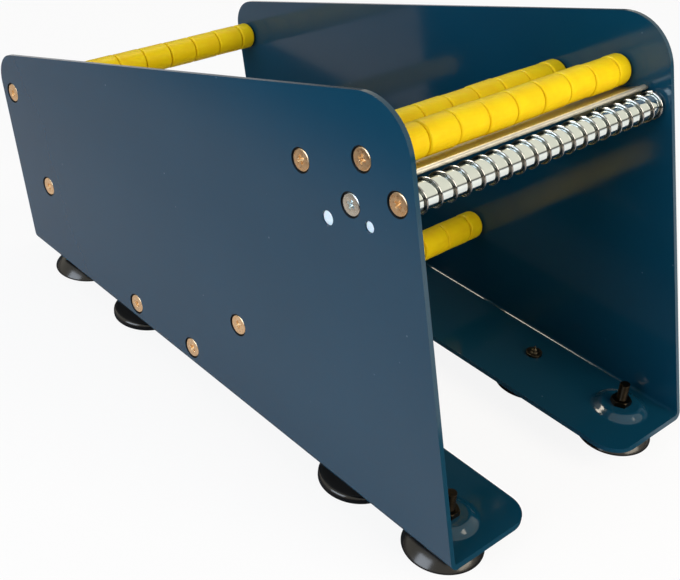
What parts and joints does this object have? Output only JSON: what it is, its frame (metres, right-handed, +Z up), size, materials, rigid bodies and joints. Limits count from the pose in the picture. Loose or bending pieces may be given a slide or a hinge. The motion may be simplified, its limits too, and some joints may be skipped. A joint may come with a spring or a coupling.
{
  "type": "bench label dispenser",
  "caption": "Open-sided bench dispenser for label rolls: folded side plates on suction feet, rods with loose yellow sleeves, a peel plate and a wire-wound front roller.",
  "frame": {"origin": "on the bench, under the middle of the dispenser's box", "axes": "+X to the right seen from the front, +Y to the rear, +Z up; the labels leave at the front, on -Y"},
  "size_m": [0.177, 0.376, 0.2118],
  "materials": {
    "blue_powder_coat": "gloss",
    "yellow_sleeve": "satin",
    "rod_steel": "drawn",
    "chrome_tube": "polished",
    "spring_steel": "polished",
    "peel_steel": "satin",
    "white_pin": "gloss",
    "clear_zinc": "plated",
    "yellow_zinc": "plated",
    "dark_zinc": "dark plated",
    "cup_rubber": "gloss",
    "disc_rubber": "matt"
  },
  "bodies": {
    "frame": {"left_side_plate": "blue_powder_coat", "right_side_plate": "blue_powder_coat", "rear_top_rod": "rod_steel", "rear_low_rod": "rod_steel", "rear_base_rod": "rod_steel", "front_base_rod": "rod_steel", "front_low_rod": "rod_steel", "guide_rod": "rod_steel", "top_rod": "rod_steel", "liner_rod": "rod_steel", "peel_plate": "peel_steel", "left_peel_pins": "white_pin", "right_peel_pins": "white_pin", "left_peel_screw": "clear_zinc", "right_peel_screw": "clear_zinc", "left_peel_nut": "clear_zinc", "right_peel_nut": "clear_zinc", "left_rod_screws": "yellow_zinc", "right_rod_screws": "yellow_zinc", "front_left_cup": "cup_rubber", "front_right_cup": "cup_rubber", "rear_left_cup": "cup_rubber", "rear_right_cup": "cup_rubber", "front_left_stud": "dark_zinc", "front_right_stud": "dark_zinc", "rear_left_stud": "dark_zinc", "rear_right_stud": "dark_zinc", "front_left_nut": "dark_zinc", "front_right_nut": "dark_zinc", "rear_left_nut": "dark_zinc", "rear_right_nut": "dark_zinc", "front_left_disc": "disc_rubber", "front_right_disc": "disc_rubber", "rear_left_disc": "disc_rubber", "rear_right_disc": "disc_rubber", "front_left_foot_screw": "dark_zinc", "front_right_foot_screw": "dark_zinc", "rear_left_foot_screw": "dark_zinc", "rear_right_foot_screw": "dark_zinc", "front_left_foot_ring": "dark_zinc", "front_right_foot_ring": "dark_zinc", "rear_left_foot_ring": "dark_zinc", "rear_right_foot_ring": "dark_zinc"},
    "rear_top_roller": {"rear_top_sleeves": "yellow_sleeve"},
    "rear_low_roller": {"rear_low_sleeves": "yellow_sleeve"},
    "front_low_roller": {"front_low_sleeves": "yellow_sleeve"},
    "guide_roller": {"guide_sleeves": "yellow_sleeve"},
    "top_roller": {"top_sleeves": "yellow_sleeve"},
    "liner_roller": {"liner_tube": "chrome_tube", "grip_spring": "spring_steel"}
  },
  "joints": [
    {"name": "rear_top_turn", "type": "hinge", "parent": "frame", "child": "rear_top_roller", "pos_m": [0, 0.17576, 0.10541], "axis": [1, 0, 0], "continuous": true},
    {"name": "rear_low_turn", "type": "hinge", "parent": "frame", "child": "rear_low_roller", "pos_m": [0, 0.14151, 0.0595], "axis": [1, 0, 0], "continuous": true},
    {"name": "front_low_turn", "type": "hinge", "parent": "frame", "child": "front_low_roller", "pos_m": [0, -0.03535, 0.061], "axis": [1, 0, 0], "continuous": true},
    {"name": "guide_turn", "type": "hinge", "parent": "frame", "child": "guide_roller", "pos_m": [0, -0.07292, 0.1676], "axis": [1, 0, 0], "continuous": true},
    {"name": "top_turn", "type": "hinge", "parent": "frame", "child": "top_roller", "pos_m": [0, -0.10866, 0.18319], "axis": [1, 0, 0], "continuous": true},
    {"name": "liner_turn", "type": "hinge", "parent": "frame", "child": "liner_roller", "pos_m": [0, -0.13087, 0.17267], "axis": [1, 0, 0], "continuous": true}
  ]
}
